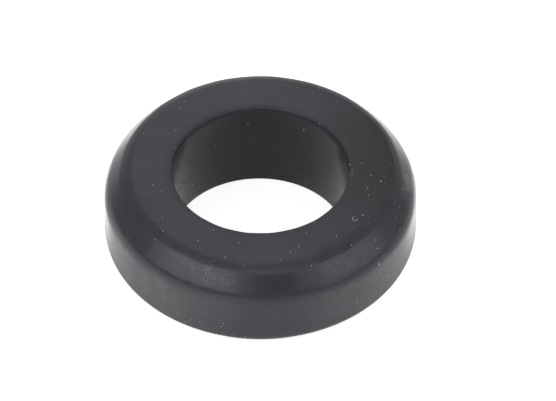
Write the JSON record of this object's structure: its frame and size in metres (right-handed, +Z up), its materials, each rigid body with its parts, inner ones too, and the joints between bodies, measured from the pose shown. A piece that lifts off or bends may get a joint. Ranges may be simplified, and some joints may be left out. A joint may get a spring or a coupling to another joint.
{
  "type": "fuel injector seal",
  "caption": "Thick black rubber ring with bevelled outer edges and a plain bore; seals and cushions a fuel injector's nose in its seat.",
  "frame": {"origin": "middle of the ring's lower face, on the bore's axis, level with what it lies on", "axes": "+Z up along the bore's axis; the ring is the same all round, so +X and +Y are free, and the picture looks along +Y and down"},
  "size_m": [0.022, 0.022, 0.0071],
  "materials": {
    "seal_rubber": "satin black, as moulded"
  },
  "bodies": {
    "root": {"seal_ring": "seal_rubber"}
  },
  "joints": []
}
